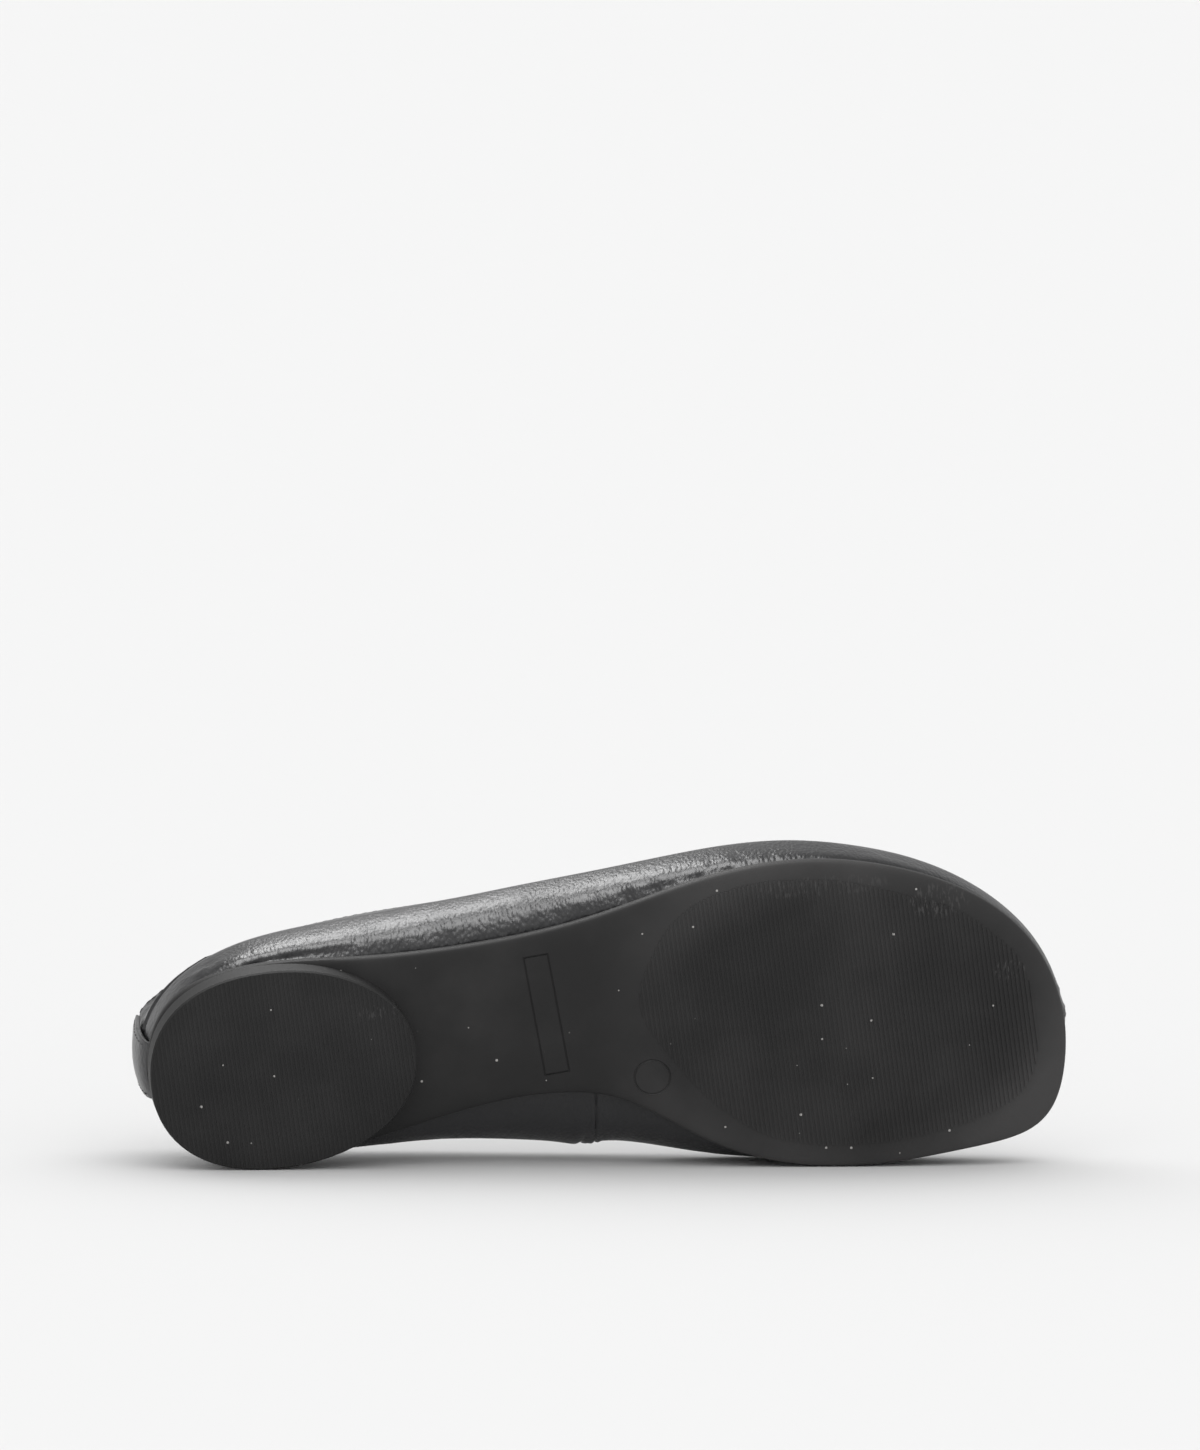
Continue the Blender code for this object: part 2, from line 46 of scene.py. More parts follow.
WELD = 0.00001
ARCH_RISE = 0.0075
ARCH_FROM = 0.0712
ARCH_TO = 0.16728
TOE_RISE = 0.0078
TOE_FROM = 0.19188
TOE_LENGTH = 0.05412


def select_only(piece):
    """Make one piece the only selected and the active one."""
    bpy.ops.object.select_all(action="DESELECT")
    piece.select_set(True)
    bpy.context.view_layer.objects.active = piece


def copy_solid(node, name):
    """Copy a solid of the frame, weld its corners, make its faces four-sided and stand it up."""
    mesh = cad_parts[node].data.copy()
    mesh.name = name
    mesh.materials.clear()
    piece = bpy.data.objects.new(name, mesh)
    bpy.context.scene.collection.objects.link(piece)
    select_only(piece)
    bpy.ops.mesh.customdata_custom_splitnormals_clear()
    bpy.ops.object.mode_set(mode="EDIT")
    bpy.ops.mesh.select_all(action="SELECT")
    bpy.ops.mesh.remove_doubles(threshold=WELD)
    bpy.ops.mesh.tris_convert_to_quads(
        face_threshold=math.radians(70), shape_threshold=math.radians(150),
    )
    bpy.ops.mesh.normals_make_consistent(inside=False)
    bpy.ops.object.mode_set(mode="OBJECT")
    mesh.transform(LYING.inverted())
    return piece


def smooth_out(piece, levels):
    """Round a piece with a subdivision surface and apply it."""
    select_only(piece)
    rounding = piece.modifiers.new("rounding", "SUBSURF")
    rounding.levels = levels
    rounding.render_levels = levels
    bpy.ops.object.modifier_apply(modifier=rounding.name)
    bpy.ops.object.shade_smooth()


def underside(along):
    """Return the height of the sole's underside: heel seat, arch, flat ball and toe spring."""
    share = min(max((along - ARCH_FROM) / (ARCH_TO - ARCH_FROM), 0.0), 1.0)
    arch = ARCH_RISE * (1.0 - share * share * (3.0 - 2.0 * share))
    return arch + TOE_RISE * max(0.0, (along - TOE_FROM) / TOE_LENGTH) ** 2


def hump(value, centre, half):
    """Return 1 at the centre and less on both sides, near 0 from twice the half width on."""
    return math.exp(-(((value - centre) / half) ** 2))


def lay_down(piece, material, replaced=()):
    """Lay a finished piece on the floor with the shoe, give it its finish and fix it to the shoe."""
    piece.data.transform(LYING)
    piece.data.materials.clear()
    piece.data.materials.append(material)
    if replaced:
        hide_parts(*replaced)
    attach(piece, "root")


def new_group(name, inputs, outputs):
    """Start a group of shader nodes with named inputs and outputs."""
    group = bpy.data.node_groups.new(name, "ShaderNodeTree")
    for socket, kind, value in inputs:
        made = group.interface.new_socket(socket, in_out="INPUT", socket_type=kind)
        if value is not None:
            made.default_value = value
    for socket, kind in outputs:
        group.interface.new_socket(socket, in_out="OUTPUT", socket_type=kind)
    return group, group.nodes.new("NodeGroupInput"), group.nodes.new("NodeGroupOutput")


def add_node(tree, kind, **settings):
    """Add a node and set its properties and, by name, its inputs."""
    node = tree.nodes.new(kind)
    for key, value in settings.items():
        if hasattr(node, key):
            setattr(node, key, value)
        else:
            node.inputs[key.replace("_", " ")].default_value = value
    return node


def math_node(tree, operation, first, second=None, clamp=False):
    """Add a Math node with linked or plain inputs, and return its output."""
    node = tree.nodes.new("ShaderNodeMath")
    node.operation = operation
    node.use_clamp = clamp
    for socket, value in zip(node.inputs, (first, second)):
        if value is None:
            continue
        if isinstance(value, (int, float)):
            socket.default_value = value
        else:
            tree.links.new(value, socket)
    return node.outputs[0]


def range_node(tree, value, low, high, out_low=0.0, out_high=1.0):
    """Add a smooth Map Range node and return its output."""
    node = tree.nodes.new("ShaderNodeMapRange")
    node.interpolation_type = "SMOOTHSTEP"
    node.inputs["From Min"].default_value = low
    node.inputs["From Max"].default_value = high
    node.inputs["To Min"].default_value = out_low
    node.inputs["To Max"].default_value = out_high
    tree.links.new(value, node.inputs["Value"])
    return node.outputs["Result"]


def mix_colours(tree, factor, first, second):
    """Add a node that mixes two plain or linked colours, and return its output."""
    node = tree.nodes.new("ShaderNodeMix")
    node.data_type = "RGBA"
    tree.links.new(factor, node.inputs["Factor"])
    for socket, colour in (("A", first), ("B", second)):
        if isinstance(colour, tuple):
            node.inputs[socket].default_value = colour
        else:
            tree.links.new(colour, node.inputs[socket])
    return node.outputs["Result"]


def add_relief(tree, shader, height, strength, distance):
    """Raise a fine relief on a shader's surface."""
    relief = tree.nodes.new("ShaderNodeBump")
    relief.inputs["Strength"].default_value = strength
    relief.inputs["Distance"].default_value = distance
    tree.links.new(height, relief.inputs["Height"])
    tree.links.new(relief.outputs["Normal"], shader.inputs["Normal"])


def start_material(name):
    """Start a material, and return it with its tree, its shader and its texture coordinates."""
    material = bpy.data.materials.new(name)
    material.use_nodes = True
    tree = material.node_tree
    return material, tree, tree.nodes["Principled BSDF"], tree.nodes.new("ShaderNodeTexCoord")


def make_grain_group():
    """Leather grain: small rounded pebbles with fine valleys between, deeper in some patches."""
    group, start, end = new_group(
        "leather_grain",
        [("Vector", "NodeSocketVector", None), ("Pebbles per metre", "NodeSocketFloat", 1100.0)],
        [("Height", "NodeSocketFloat"), ("Patches", "NodeSocketFloat")],
    )
    drawn = add_node(group, "ShaderNodeVectorMath", operation="MULTIPLY")
    drawn.inputs[1].default_value = (1.0, 0.62, 0.62)
    group.links.new(start.outputs["Vector"], drawn.inputs[0])
    pebbles = add_node(
        group, "ShaderNodeTexVoronoi", feature="SMOOTH_F1", Smoothness=0.6, Randomness=1.0,
    )
    patches = add_node(group, "ShaderNodeTexNoise", Scale=38.0, Detail=3.0)
    fine = add_node(group, "ShaderNodeTexNoise", Scale=2600.0, Detail=2.0)
    loose = add_node(group, "ShaderNodeTexNoise", Scale=230.0, Detail=2.0)
    for texture in (pebbles, patches, fine, loose):
        group.links.new(drawn.outputs["Vector"], texture.inputs["Vector"])
    group.links.new(start.outputs["Pebbles per metre"], pebbles.inputs["Scale"])
    depth = range_node(group, patches.outputs["Fac"], 0.35, 0.65, 0.45, 1.0)
    domes = math_node(group, "SUBTRACT", 1.0, pebbles.outputs["Distance"])
    height = math_node(group, "MULTIPLY", domes, depth)
    for texture, share in ((fine, 0.25), (loose, 0.9)):
        rise = math_node(group, "MULTIPLY", texture.outputs["Fac"], share)
        height = math_node(group, "ADD", height, rise)
    group.links.new(height, end.inputs["Height"])
    group.links.new(patches.outputs["Fac"], end.inputs["Patches"])
    return group


GRAIN = make_grain_group()


def lighter(colour, times):
    """Return a colour made lighter."""
    return tuple(times * part for part in colour[:3]) + (1.0,)


def make_leather(name, colour, roughness, pebbles, bump):
    """Dyed and lightly finished leather."""
    material, tree, shader, place = start_material(name)
    grain = tree.nodes.new("ShaderNodeGroup")
    grain.node_tree = GRAIN
    grain.inputs["Pebbles per metre"].default_value = pebbles
    tree.links.new(place.outputs["Object"], grain.inputs["Vector"])
    add_relief(tree, shader, grain.outputs["Height"], bump, 0.0003)
    tone = mix_colours(tree, grain.outputs["Patches"], colour, lighter(colour, 1.35))
    tree.links.new(tone, shader.inputs["Base Color"])
    shine = range_node(tree, grain.outputs["Patches"], 0.3, 0.7, roughness - 0.05, roughness + 0.06)
    tree.links.new(shine, shader.inputs["Roughness"])
    shader.inputs["Specular IOR Level"].default_value = 0.5
    return material


UPPER_LEATHER = make_leather("black_upper_leather", LEATHER_BLACK, 0.36, 1150.0, 0.65)

# A section holds pairs of distance from a seam's middle and push out of the surface.
SEAM_SECTION = (
    (-0.0018, 0.0), (-0.0009, 0.00028), (-0.00028, 0.00012), (0.0, -0.00045),
    (0.00028, 0.00012), (0.0009, 0.00030), (0.0018, 0.0),
)
COUNTER_SECTION = (
    (-0.0032, 0.0), (-0.0014, -0.00040), (-0.0005, -0.00028), (0.0, 0.00038),
    (0.0005, 0.00012), (0.0014, 0.0),
)
# These rows only carry the deep fold between the leather and the sole's edge round the heel.
FOLD_ROWS = (
    (-0.0010, 0.0), (-0.0004, 0.0), (0.0, 0.0), (0.0005, 0.0), (0.0011, 0.0), (0.0019, 0.0),
)
# Each seam or sharp fold: a point on it, the direction across it, the box it lies in as low and high
# x, y and z, and its section.
SEAMS = (
    (
        (0.0300, -0.0200, 0.0125), (0.0, 0.0, 1.0),
        (-0.010, 0.085, -0.06, -0.008, 0.008, 0.020), FOLD_ROWS,
    ),
    (
        (0.2464, 0.0014, 0.0), (-0.0838, 0.9965, 0.0),
        (0.160, 0.260, -0.02, 0.02, 0.0, 0.06), SEAM_SECTION,
    ),
    (
        (0.1197, 0.0139, 0.0082), (0.9993, 0.0, -0.0377),
        (0.110, 0.130, 0.0, 0.04, 0.0, 0.06), SEAM_SECTION,
    ),
    (
        (0.0041, -0.0143, 0.0262), (-0.17, 0.16, 0.97),
        (-0.01, 0.020, -0.032, -0.004, 0.016, 0.036), COUNTER_SECTION,
    ),
)
# Each pucker or crease: its two ends, its half width and how far it stands out
PUCKERS = (
    ((0.0115, -0.0234, 0.0203), (0.0155, -0.0260, 0.0172), 0.0007, 0.00035),
    ((0.0172, -0.0271, 0.0178), (0.0178, -0.0274, 0.0172), 0.0014, 0.00050),
    ((0.0218, -0.0288, 0.0176), (0.0222, -0.0290, 0.0160), 0.0014, 0.00040),
    ((0.0252, -0.0298, 0.0176), (0.0258, -0.0302, 0.0150), 0.0013, 0.00030),
    ((0.0194, -0.0280, 0.0200), (0.0198, -0.0283, 0.0150), 0.0009, -0.00035),
    ((0.0236, -0.0294, 0.0190), (0.0238, -0.0296, 0.0150), 0.0008, -0.00030),
    ((0.2452, -0.0050, 0.0110), (0.2456, -0.0044, 0.0180), 0.0009, 0.00035),
    ((0.2462, 0.0014, 0.0110), (0.2462, 0.0014, 0.0145), 0.0010, 0.00070),
    ((0.0050, -0.0120, 0.0400), (0.0060, -0.0122, 0.0480), 0.0036, -0.00115),
)
# How far above the sole's underside the leather begins
LEATHER_FROM = 0.0038
SLACK = 0.00035
SLACK_HEIGHT = 0.010
GATHERS = 0.00030
GATHERS_BAND = (0.0035, 0.0035)
FOLD_DEPTH = 0.00050
FOLD_BAND = (0.0012, 0.0014)
# Where the fold is deeper: the place along the shoe, the half width and the added depth
DEEP_FOLDS = ((0.148, 0.030, 0.00100), (0.034, 0.026, 0.00150))
# The foot's middle line, from the middle of the heel seat to the ball
MIDDLE_FROM = 0.045
MIDDLE_TO = 0.2
MIDDLE_HEIGHT = 0.022


def middle_across(along):
    """Return where the shoe's middle line runs across, at a place along it."""
    return -0.004 - 0.009 * hump(along, 0.115, 0.06)


def is_inside(centre, normal):
    """Return whether a face of the upper faces the foot."""
    along = min(max(centre.x, MIDDLE_FROM), MIDDLE_TO)
    outward = centre - Vector((along, middle_across(centre.x), MIDDLE_HEIGHT))
    return normal.dot(outward) < 0.0


def is_in_box(place, box):
    """Return whether a point lies in a box given as low and high x, y and z."""
    return box[0] < place.x < box[1] and box[2] < place.y < box[3] and box[4] < place.z < box[5]


def cut_rows(piece, point, across, box, section):
    """Cut rows of edges along a seam, so that its narrow section can be shaped."""
    across = Vector(across).normalized()
    for distance, push in section:
        select_only(piece)
        bpy.ops.object.mode_set(mode="EDIT")
        bpy.ops.mesh.select_mode(type="FACE")
        bpy.ops.mesh.select_all(action="DESELECT")
        bpy.ops.object.mode_set(mode="OBJECT")
        for face in piece.data.polygons:
            face.select = is_in_box(face.center, box)
        bpy.ops.object.mode_set(mode="EDIT")
        bpy.ops.mesh.bisect(plane_co=Vector(point) + across * distance, plane_no=across)
        bpy.ops.object.mode_set(mode="OBJECT")


def section_push(distance, section):
    """Return how far a seam's section stands out at a distance from its middle."""
    for (near, low), (far, high) in zip(section, section[1:]):
        if near <= distance <= far:
            return low + (high - low) * (distance - near) / (far - near)
    return 0.0


def pucker_push(place):
    """Return how far the puckers and creases push the leather out at a place."""
    push = 0.0
    for start, end, half, height in PUCKERS:
        start = Vector(start)
        run = Vector(end) - start
        share = min(max((place - start).dot(run) / run.length_squared, 0.0), 1.0)
        push += height * hump((place - start - run * share).length, 0.0, half)
    return push


def shape_leather(piece):
    """Work the seams, creases, gathers and slack of lasted leather into the upper's outer face."""
    for point, across, box, section in SEAMS:
        cut_rows(piece, point, across, box, section)
    normals = [corner.normal.copy() for corner in piece.data.vertices]
    for corner, normal in zip(piece.data.vertices, normals):
        place = corner.co
        if is_inside(place, normal):
            continue
        over_sole = place.z - underside(place.x) - LEATHER_FROM
        slack = noise.noise(Vector((place.x * 38.0, place.y * 30.0, place.z * 22.0)))
        push = SLACK * slack * min(1.0, max(0.0, over_sole / SLACK_HEIGHT))
        gather = noise.noise(Vector((place.x * 260.0, place.y * 260.0, place.z * 60.0 + 7.0)))
        push += GATHERS * gather * hump(over_sole, *GATHERS_BAND)
        if place.y < middle_across(place.x):
            jagged = 0.7 + 0.9 * noise.noise(Vector((place.x * 420.0, 3.0, 0.0)))
            deep = FOLD_DEPTH + sum(add * hump(place.x, *where) for *where, add in DEEP_FOLDS)
            push -= deep * jagged * hump(over_sole, *FOLD_BAND)
        push += pucker_push(place)
        for point, across, box, section in SEAMS:
            if is_in_box(place, box):
                push += section_push((place - Vector(point)).dot(Vector(across).normalized()), section)
        corner.co = place + normal * push


upper = copy_solid("upper", "leather_upper")
smooth_out(upper, 2)
shape_leather(upper)

# Topline stitching
# One row of black thread runs round the collar, 4 mm below its fold. It is sewn by machine through
# the upper and the lining.
STITCH_LENGTH = 0.0021
STITCH_PITCH = 0.0027
STITCH_RISE = 0.00004
STITCH_DIP = 0.00028
THREAD_RADIUS = 0.00019
COLLAR_MIDDLE = (0.095, -0.009)
COLLAR_END = 0.150
COLLAR_STEPS = 120
WALK_STEP = 0.0005
TOPLINE_ROW = 0.0035


def outer_skin(piece):
    """Return the upper's outer faces as a tree that finds the nearest point on them."""
    mesh = piece.data
    skin = [tuple(face.vertices) for face in mesh.polygons if not is_inside(face.center, face.normal)]
    return BVHTree.FromPolygons([corner.co.copy() for corner in mesh.vertices], skin)


def follow_round(points, passes):
    """Smooth a closed row of points."""
    for _ in range(passes):
        after = points[1:] + points[:1]
        before = points[-1:] + points[:-1]
        points = [(a + b * 2.0 + c) / 4.0 for a, b, c in zip(before, points, after)]
    return points


def find_crest(piece):
    """Return the highest points of the collar, in order round the opening."""
    crest = [None] * COLLAR_STEPS
    for corner in piece.data.vertices:
        turn = math.atan2(corner.co.y - COLLAR_MIDDLE[1], corner.co.x - COLLAR_MIDDLE[0])
        step = int((turn / (2.0 * math.pi) + 0.5) * COLLAR_STEPS) % COLLAR_STEPS
        if crest[step] is None or corner.co.z > crest[step].z:
            crest[step] = corner.co.copy()
    return follow_round([point for point in crest if point is not None], 3)


def walk_down(skin, point, distance):
    """Walk from the fold down the outer face and return the place reached."""
    axis = Vector((min(max(point.x, MIDDLE_FROM), COLLAR_END), middle_across(point.x), point.z))
    outward = (point - axis).normalized()
    place, normal, _, _ = skin.find_nearest(point + outward * 0.001)
    for _ in range(int(distance / WALK_STEP)):
        heading = outward - Vector((0.0, 0.0, 1.5))
        heading = (heading - normal * heading.dot(normal)).normalized()
        place, normal, _, _ = skin.find_nearest(place + heading * WALK_STEP)
    return place


def space_out(points, pitch, closed):
    """Return evenly spaced places and directions along a row of points."""
    if closed:
        points = points + points[:1]
    places = []
    spare = 0.0
    for near, far in zip(points, points[1:]):
        run = (far - near).length
        while spare < run:
            places.append((near.lerp(far, spare / run), (far - near).normalized()))
            spare += pitch
        spare -= run
    return places


def make_stitch():
    """Model one stitch, a short thread that dips into the leather at both ends."""
    bpy.ops.object.select_all(action="DESELECT")
    bpy.ops.mesh.primitive_cylinder_add(
        vertices=6, radius=THREAD_RADIUS, depth=STITCH_LENGTH, rotation=(0.0, math.pi / 2.0, 0.0),
    )
    stitch = bpy.context.object
    bpy.ops.object.transform_apply(location=True, rotation=True, scale=True)
    bpy.ops.object.mode_set(mode="EDIT")
    bpy.ops.mesh.select_mode(type="EDGE")
    bpy.ops.mesh.select_all(action="DESELECT")
    bpy.ops.object.mode_set(mode="OBJECT")
    for edge in stitch.data.edges:
        ends = [stitch.data.vertices[index].co.x for index in edge.vertices]
        edge.select = abs(ends[0] - ends[1]) > 0.5 * STITCH_LENGTH
    bpy.ops.object.mode_set(mode="EDIT")
    bpy.ops.mesh.subdivide(number_cuts=5)
    bpy.ops.object.mode_set(mode="OBJECT")
    for corner in stitch.data.vertices:
        share = corner.co.x / (0.5 * STITCH_LENGTH)
        thinner = 1.0 - 0.5 * share ** 4
        corner.co.y *= thinner
        corner.co.z = corner.co.z * thinner + STITCH_RISE - STITCH_DIP * share ** 4
    return stitch


def sew(name, places, skin, material):
    """Copy the stitch to each place, turned along the row and up from the surface, and join them."""
    stitch = make_stitch()
    row = []
    for place, along in places:
        spot, normal, _, _ = skin.find_nearest(place)
        beside = normal.cross(along).normalized()
        turn = Matrix((beside.cross(normal), beside, normal)).transposed().to_4x4()
        copy = bpy.data.objects.new(name, stitch.data.copy())
        copy.data.transform(Matrix.Translation(spot) @ turn)
        bpy.context.scene.collection.objects.link(copy)
        row.append(copy)
    bpy.data.objects.remove(stitch, do_unlink=True)
    bpy.ops.object.select_all(action="DESELECT")
    for copy in row:
        copy.select_set(True)
    bpy.context.view_layer.objects.active = row[0]
    bpy.ops.object.join()
    sewn = bpy.context.object
    sewn.name = name
    bpy.ops.object.shade_smooth()
    lay_down(sewn, material)


def make_thread(name, colour):
    """Waxed black sewing thread, with the fine slanting ridges of its twist."""
    material, tree, shader, place = start_material(name)
    twist = add_node(tree, "ShaderNodeTexWave", Scale=900.0, Distortion=0.6, bands_direction="DIAGONAL")
    tree.links.new(place.outputs["Object"], twist.inputs["Vector"])
    shade = range_node(tree, twist.outputs["Fac"], 0.0, 1.0, 0.45, 0.62)
    tree.links.new(shade, shader.inputs["Roughness"])
    tone = mix_colours(tree, twist.outputs["Fac"], colour, lighter(colour, 1.8))
    tree.links.new(tone, shader.inputs["Base Color"])
    add_relief(tree, shader, twist.outputs["Fac"], 0.4, 0.0001)
    shader.inputs["Specular IOR Level"].default_value = 0.5
    return material


BLACK_THREAD = make_thread("black_thread", (0.016, 0.016, 0.017, 1.0))
upper_skin = outer_skin(upper)
topline = [walk_down(upper_skin, point, TOPLINE_ROW) for point in find_crest(upper)]
topline_places = space_out(follow_round(topline, 2), STITCH_PITCH, True)
sew("topline_stitches", topline_places, upper_skin, BLACK_THREAD)
lay_down(upper, UPPER_LEATHER, ["upper"])

# Lining
# The lining is thin dark leather, glued inside the upper and stitched to it just under the folded
# topline, so a narrow rim of the upper's own leather shows above it.
LINING_LEATHER = make_leather("dark_lining_leather", (0.030, 0.027, 0.025, 1.0), 0.55, 1700.0, 0.25)
LINING_THICKNESS = 0.0006
lining = copy_solid("upper", "lining")
select_only(lining)
bpy.ops.object.mode_set(mode="EDIT")
bpy.ops.mesh.select_all(action="DESELECT")
bpy.ops.object.mode_set(mode="OBJECT")
for face in lining.data.polygons:
    face.select = not is_inside(face.center, face.normal)
bpy.ops.object.mode_set(mode="EDIT")
bpy.ops.mesh.delete(type="FACE")
bpy.ops.object.mode_set(mode="OBJECT")
smooth_out(lining, 1)
wall = lining.modifiers.new("wall", "SOLIDIFY")
wall.thickness = LINING_THICKNESS
wall.offset = 1.0
bpy.ops.object.modifier_apply(modifier=wall.name)
lay_down(lining, LINING_LEATHER)

# Back strip
# The stay is a strip of the upper's leather, sewn over the back seam from the sole to just under the
# folded topline. Its cut edges stand proud of the leather.
STRIP_PRESS = 0.00025
STRIP_FOOT = 0.0135
STRIP_FOOT_LENGTH = 0.0014
STRIP_FOOT_DOWN = 0.0010
STRIP_FOOT_IN = 0.0007
STRIP_ROW_FROM = 0.0150
STRIP_ROW_STEP = 0.00112
STRIP_ROW_COUNT = 24
STRIP_ROW_INSET = 0.0013
strip = copy_solid("back_strip", "back_strip_leather")
for corner in strip.data.vertices:
    corner.co.x += STRIP_PRESS
    if corner.co.z < STRIP_FOOT:
        share = (STRIP_FOOT - corner.co.z) / STRIP_FOOT_LENGTH
        corner.co.z -= STRIP_FOOT_DOWN * share
        corner.co.x += STRIP_FOOT_IN * share
select_only(strip)
bpy.ops.object.mode_set(mode="EDIT")
bpy.ops.mesh.select_all(action="SELECT")
bpy.ops.mesh.subdivide(number_cuts=1)
bpy.ops.object.mode_set(mode="OBJECT")
edges = strip.modifiers.new("edges", "BEVEL")
edges.width = 0.0003
edges.segments = 3
edges.limit_method = "ANGLE"
edges.angle_limit = math.radians(50)
bpy.ops.object.modifier_apply(modifier=edges.name)
bpy.ops.object.shade_smooth_by_angle(angle=math.radians(40))


def strip_row(piece, inset, lateral):
    """Return places on the strip's outer face, one inset inside its long edge, from foot to top."""
    mesh = piece.data
    faces = [tuple(face.vertices) for face in mesh.polygons]
    skin = BVHTree.FromPolygons([corner.co.copy() for corner in mesh.vertices], faces)
    row = []
    for step in range(STRIP_ROW_COUNT):
        height = STRIP_ROW_FROM + STRIP_ROW_STEP * step
        across = [corner.co.y for corner in mesh.vertices if abs(corner.co.z - height) < 0.0040]
        edge = min(across) + inset if lateral else max(across) - inset
        spot = skin.ray_cast(Vector((-0.03, edge, height)), Vector((1.0, 0.0, 0.0)))[0]
        if spot is not None:
            row.append(spot)
    return skin, row


for name, lateral in (("outer_strip_stitches", True), ("inner_strip_stitches", False)):
    strip_skin, row = strip_row(strip, STRIP_ROW_INSET, lateral)
    sew(name, space_out(row, STITCH_PITCH, False), strip_skin, BLACK_THREAD)
lay_down(strip, UPPER_LEATHER, ["back_strip"])

# Insole
# The sock is dark leather over a thin pad and the insole board. It is glued in last and covers the
# upper's turned-in edge.
SOCK_LEATHER = make_leather("sock_leather", (0.035, 0.032, 0.029, 1.0), 0.5, 1300.0, 0.3)
sock = copy_solid("insole", "sock")
smooth_out(sock, 1)
lay_down(sock, SOCK_LEATHER, ["insole"])

# Outsole
# The outsole is one thin moulding of black rubber, cemented under the upper. It has a shallow
# rectangular groove and a ring under the waist, both bare.
SOLE_TURN = math.radians(-5.5)
PLATE_CORNERS = ((0.1011, -0.0278), (0.1080, -0.0284), (0.1128, 0.0043), (0.1057, 0.0053))
GROOVE_WIDTH = 0.0005
GROOVE_DEPTH = 0.0004
RING_CENTRE = (0.1342, 0.0070)
RING_RADIUS = 0.0047
RING_GROOVE = 0.0003
DUST_GREY = (0.32, 0.31, 0.30, 1.0)
# The centre and half size of the whole forefoot and of its ribbed field. The border between them gets a
# painted highlight.
FOREFOOT = ((0.200, -0.010), (0.075, 0.075))
TREAD_FIELD = ((0.186, -0.006), (0.064, 0.044))


def make_patch_group():
    """A soft oval patch: 1 in its middle and 0 outside, seen from below the sole."""
    group, start, end = new_group(
        "oval_patch",
        [(socket, "NodeSocketVector", None) for socket in ("Vector", "Centre", "Half")],
        [("Mask", "NodeSocketFloat")],
    )
    offset = add_node(group, "ShaderNodeVectorMath", operation="SUBTRACT")
    group.links.new(start.outputs["Vector"], offset.inputs[0])
    group.links.new(start.outputs["Centre"], offset.inputs[1])
    share = add_node(group, "ShaderNodeVectorMath", operation="DIVIDE")
    group.links.new(offset.outputs["Vector"], share.inputs[0])
    group.links.new(start.outputs["Half"], share.inputs[1])
    reach = add_node(group, "ShaderNodeVectorMath", operation="LENGTH")
    group.links.new(share.outputs["Vector"], reach.inputs[0])
    mask = range_node(group, reach.outputs["Value"], 0.7, 1.1, 1.0, 0.0)
    group.links.new(mask, end.inputs["Mask"])
    return group


def make_specks_group():
    """Dust: a few small pale specks, each of its own size."""
    group, start, end = new_group(
        "dust_specks",
        [("Vector", "NodeSocketVector", None), ("Specks per metre", "NodeSocketFloat", 150.0)],
        [("Mask", "NodeSocketFloat")],
    )
    cells = add_node(
        group, "ShaderNodeTexVoronoi", feature="F1", Randomness=1.0, voronoi_dimensions="2D",
    )
    group.links.new(start.outputs["Vector"], cells.inputs["Vector"])
    group.links.new(start.outputs["Specks per metre"], cells.inputs["Scale"])
    chance = group.nodes.new("ShaderNodeSeparateColor")
    group.links.new(cells.outputs["Color"], chance.inputs["Color"])
    few = range_node(group, chance.outputs["Red"], 0.86, 1.0, 0.0, 1.0)
    size = math_node(group, "MULTIPLY", few, 0.052)
    speck = math_node(group, "LESS_THAN", cells.outputs["Distance"], size)
    group.links.new(speck, end.inputs["Mask"])
    return group


PATCH = make_patch_group()
SPECKS = make_specks_group()


def patch_mask(tree, vector, centre, half):
    """Place an oval patch in a material and return its mask."""
    patch = tree.nodes.new("ShaderNodeGroup")
    patch.node_tree = PATCH
    patch.inputs["Centre"].default_value = (*centre, 0.0)
    patch.inputs["Half"].default_value = (*half, 1.0)
    tree.links.new(vector, patch.inputs["Vector"])
    return patch.outputs["Mask"]


def stand_up(tree, place):
    """Turn object coordinates back to those of the standing shoe, seen from below."""
    standing = add_node(tree, "ShaderNodeMapping", vector_type="TEXTURE")
    standing.inputs["Location"].default_value = LYING.to_translation()
    standing.inputs["Rotation"].default_value = LYING.to_euler()
    tree.links.new(place.outputs["Object"], standing.inputs["Vector"])
    return standing.outputs["Vector"]


def rubber_wear_and_border_sheen(tree, below, patches, field, scuffs):
    """Return where the rubber is painted lighter: worn in soft patches and scuffs, and a painted
    highlight round the tread.
    """
    wear_and_sheen = range_node(tree, patches, 0.35, 0.75, 0.0, 0.45)
    # The plain border round the ribbed field is painted lighter. This is a painted highlight for the
    # light its rounded edge catches, not wear.
    if field:
        painted_border_sheen = math_node(tree, "SUBTRACT", 1.0, patch_mask(tree, below, *field))
        painted_border_sheen = math_node(tree, "MULTIPLY", painted_border_sheen, patch_mask(tree, below, *FOREFOOT))
        wear_and_sheen = math_node(tree, "ADD", wear_and_sheen, math_node(tree, "MULTIPLY", painted_border_sheen, 0.9), clamp=True)
    drawn_out = add_node(tree, "ShaderNodeMapping")
    drawn_out.inputs["Scale"].default_value = (1.0, 0.3, 1.0)
    tree.links.new(below, drawn_out.inputs["Vector"])
    scratches = add_node(tree, "ShaderNodeTexNoise", Scale=1500.0, Detail=3.0)
    tree.links.new(drawn_out.outputs["Vector"], scratches.inputs["Vector"])
    scratched = range_node(tree, scratches.outputs["Fac"], 0.52, 0.66)
    for centre, half, strength in scuffs:
        scuff = math_node(tree, "MULTIPLY", patch_mask(tree, below, centre, half), scratched)
        wear_and_sheen = math_node(tree, "ADD", wear_and_sheen, math_node(tree, "MULTIPLY", scuff, strength))
    return wear_and_sheen


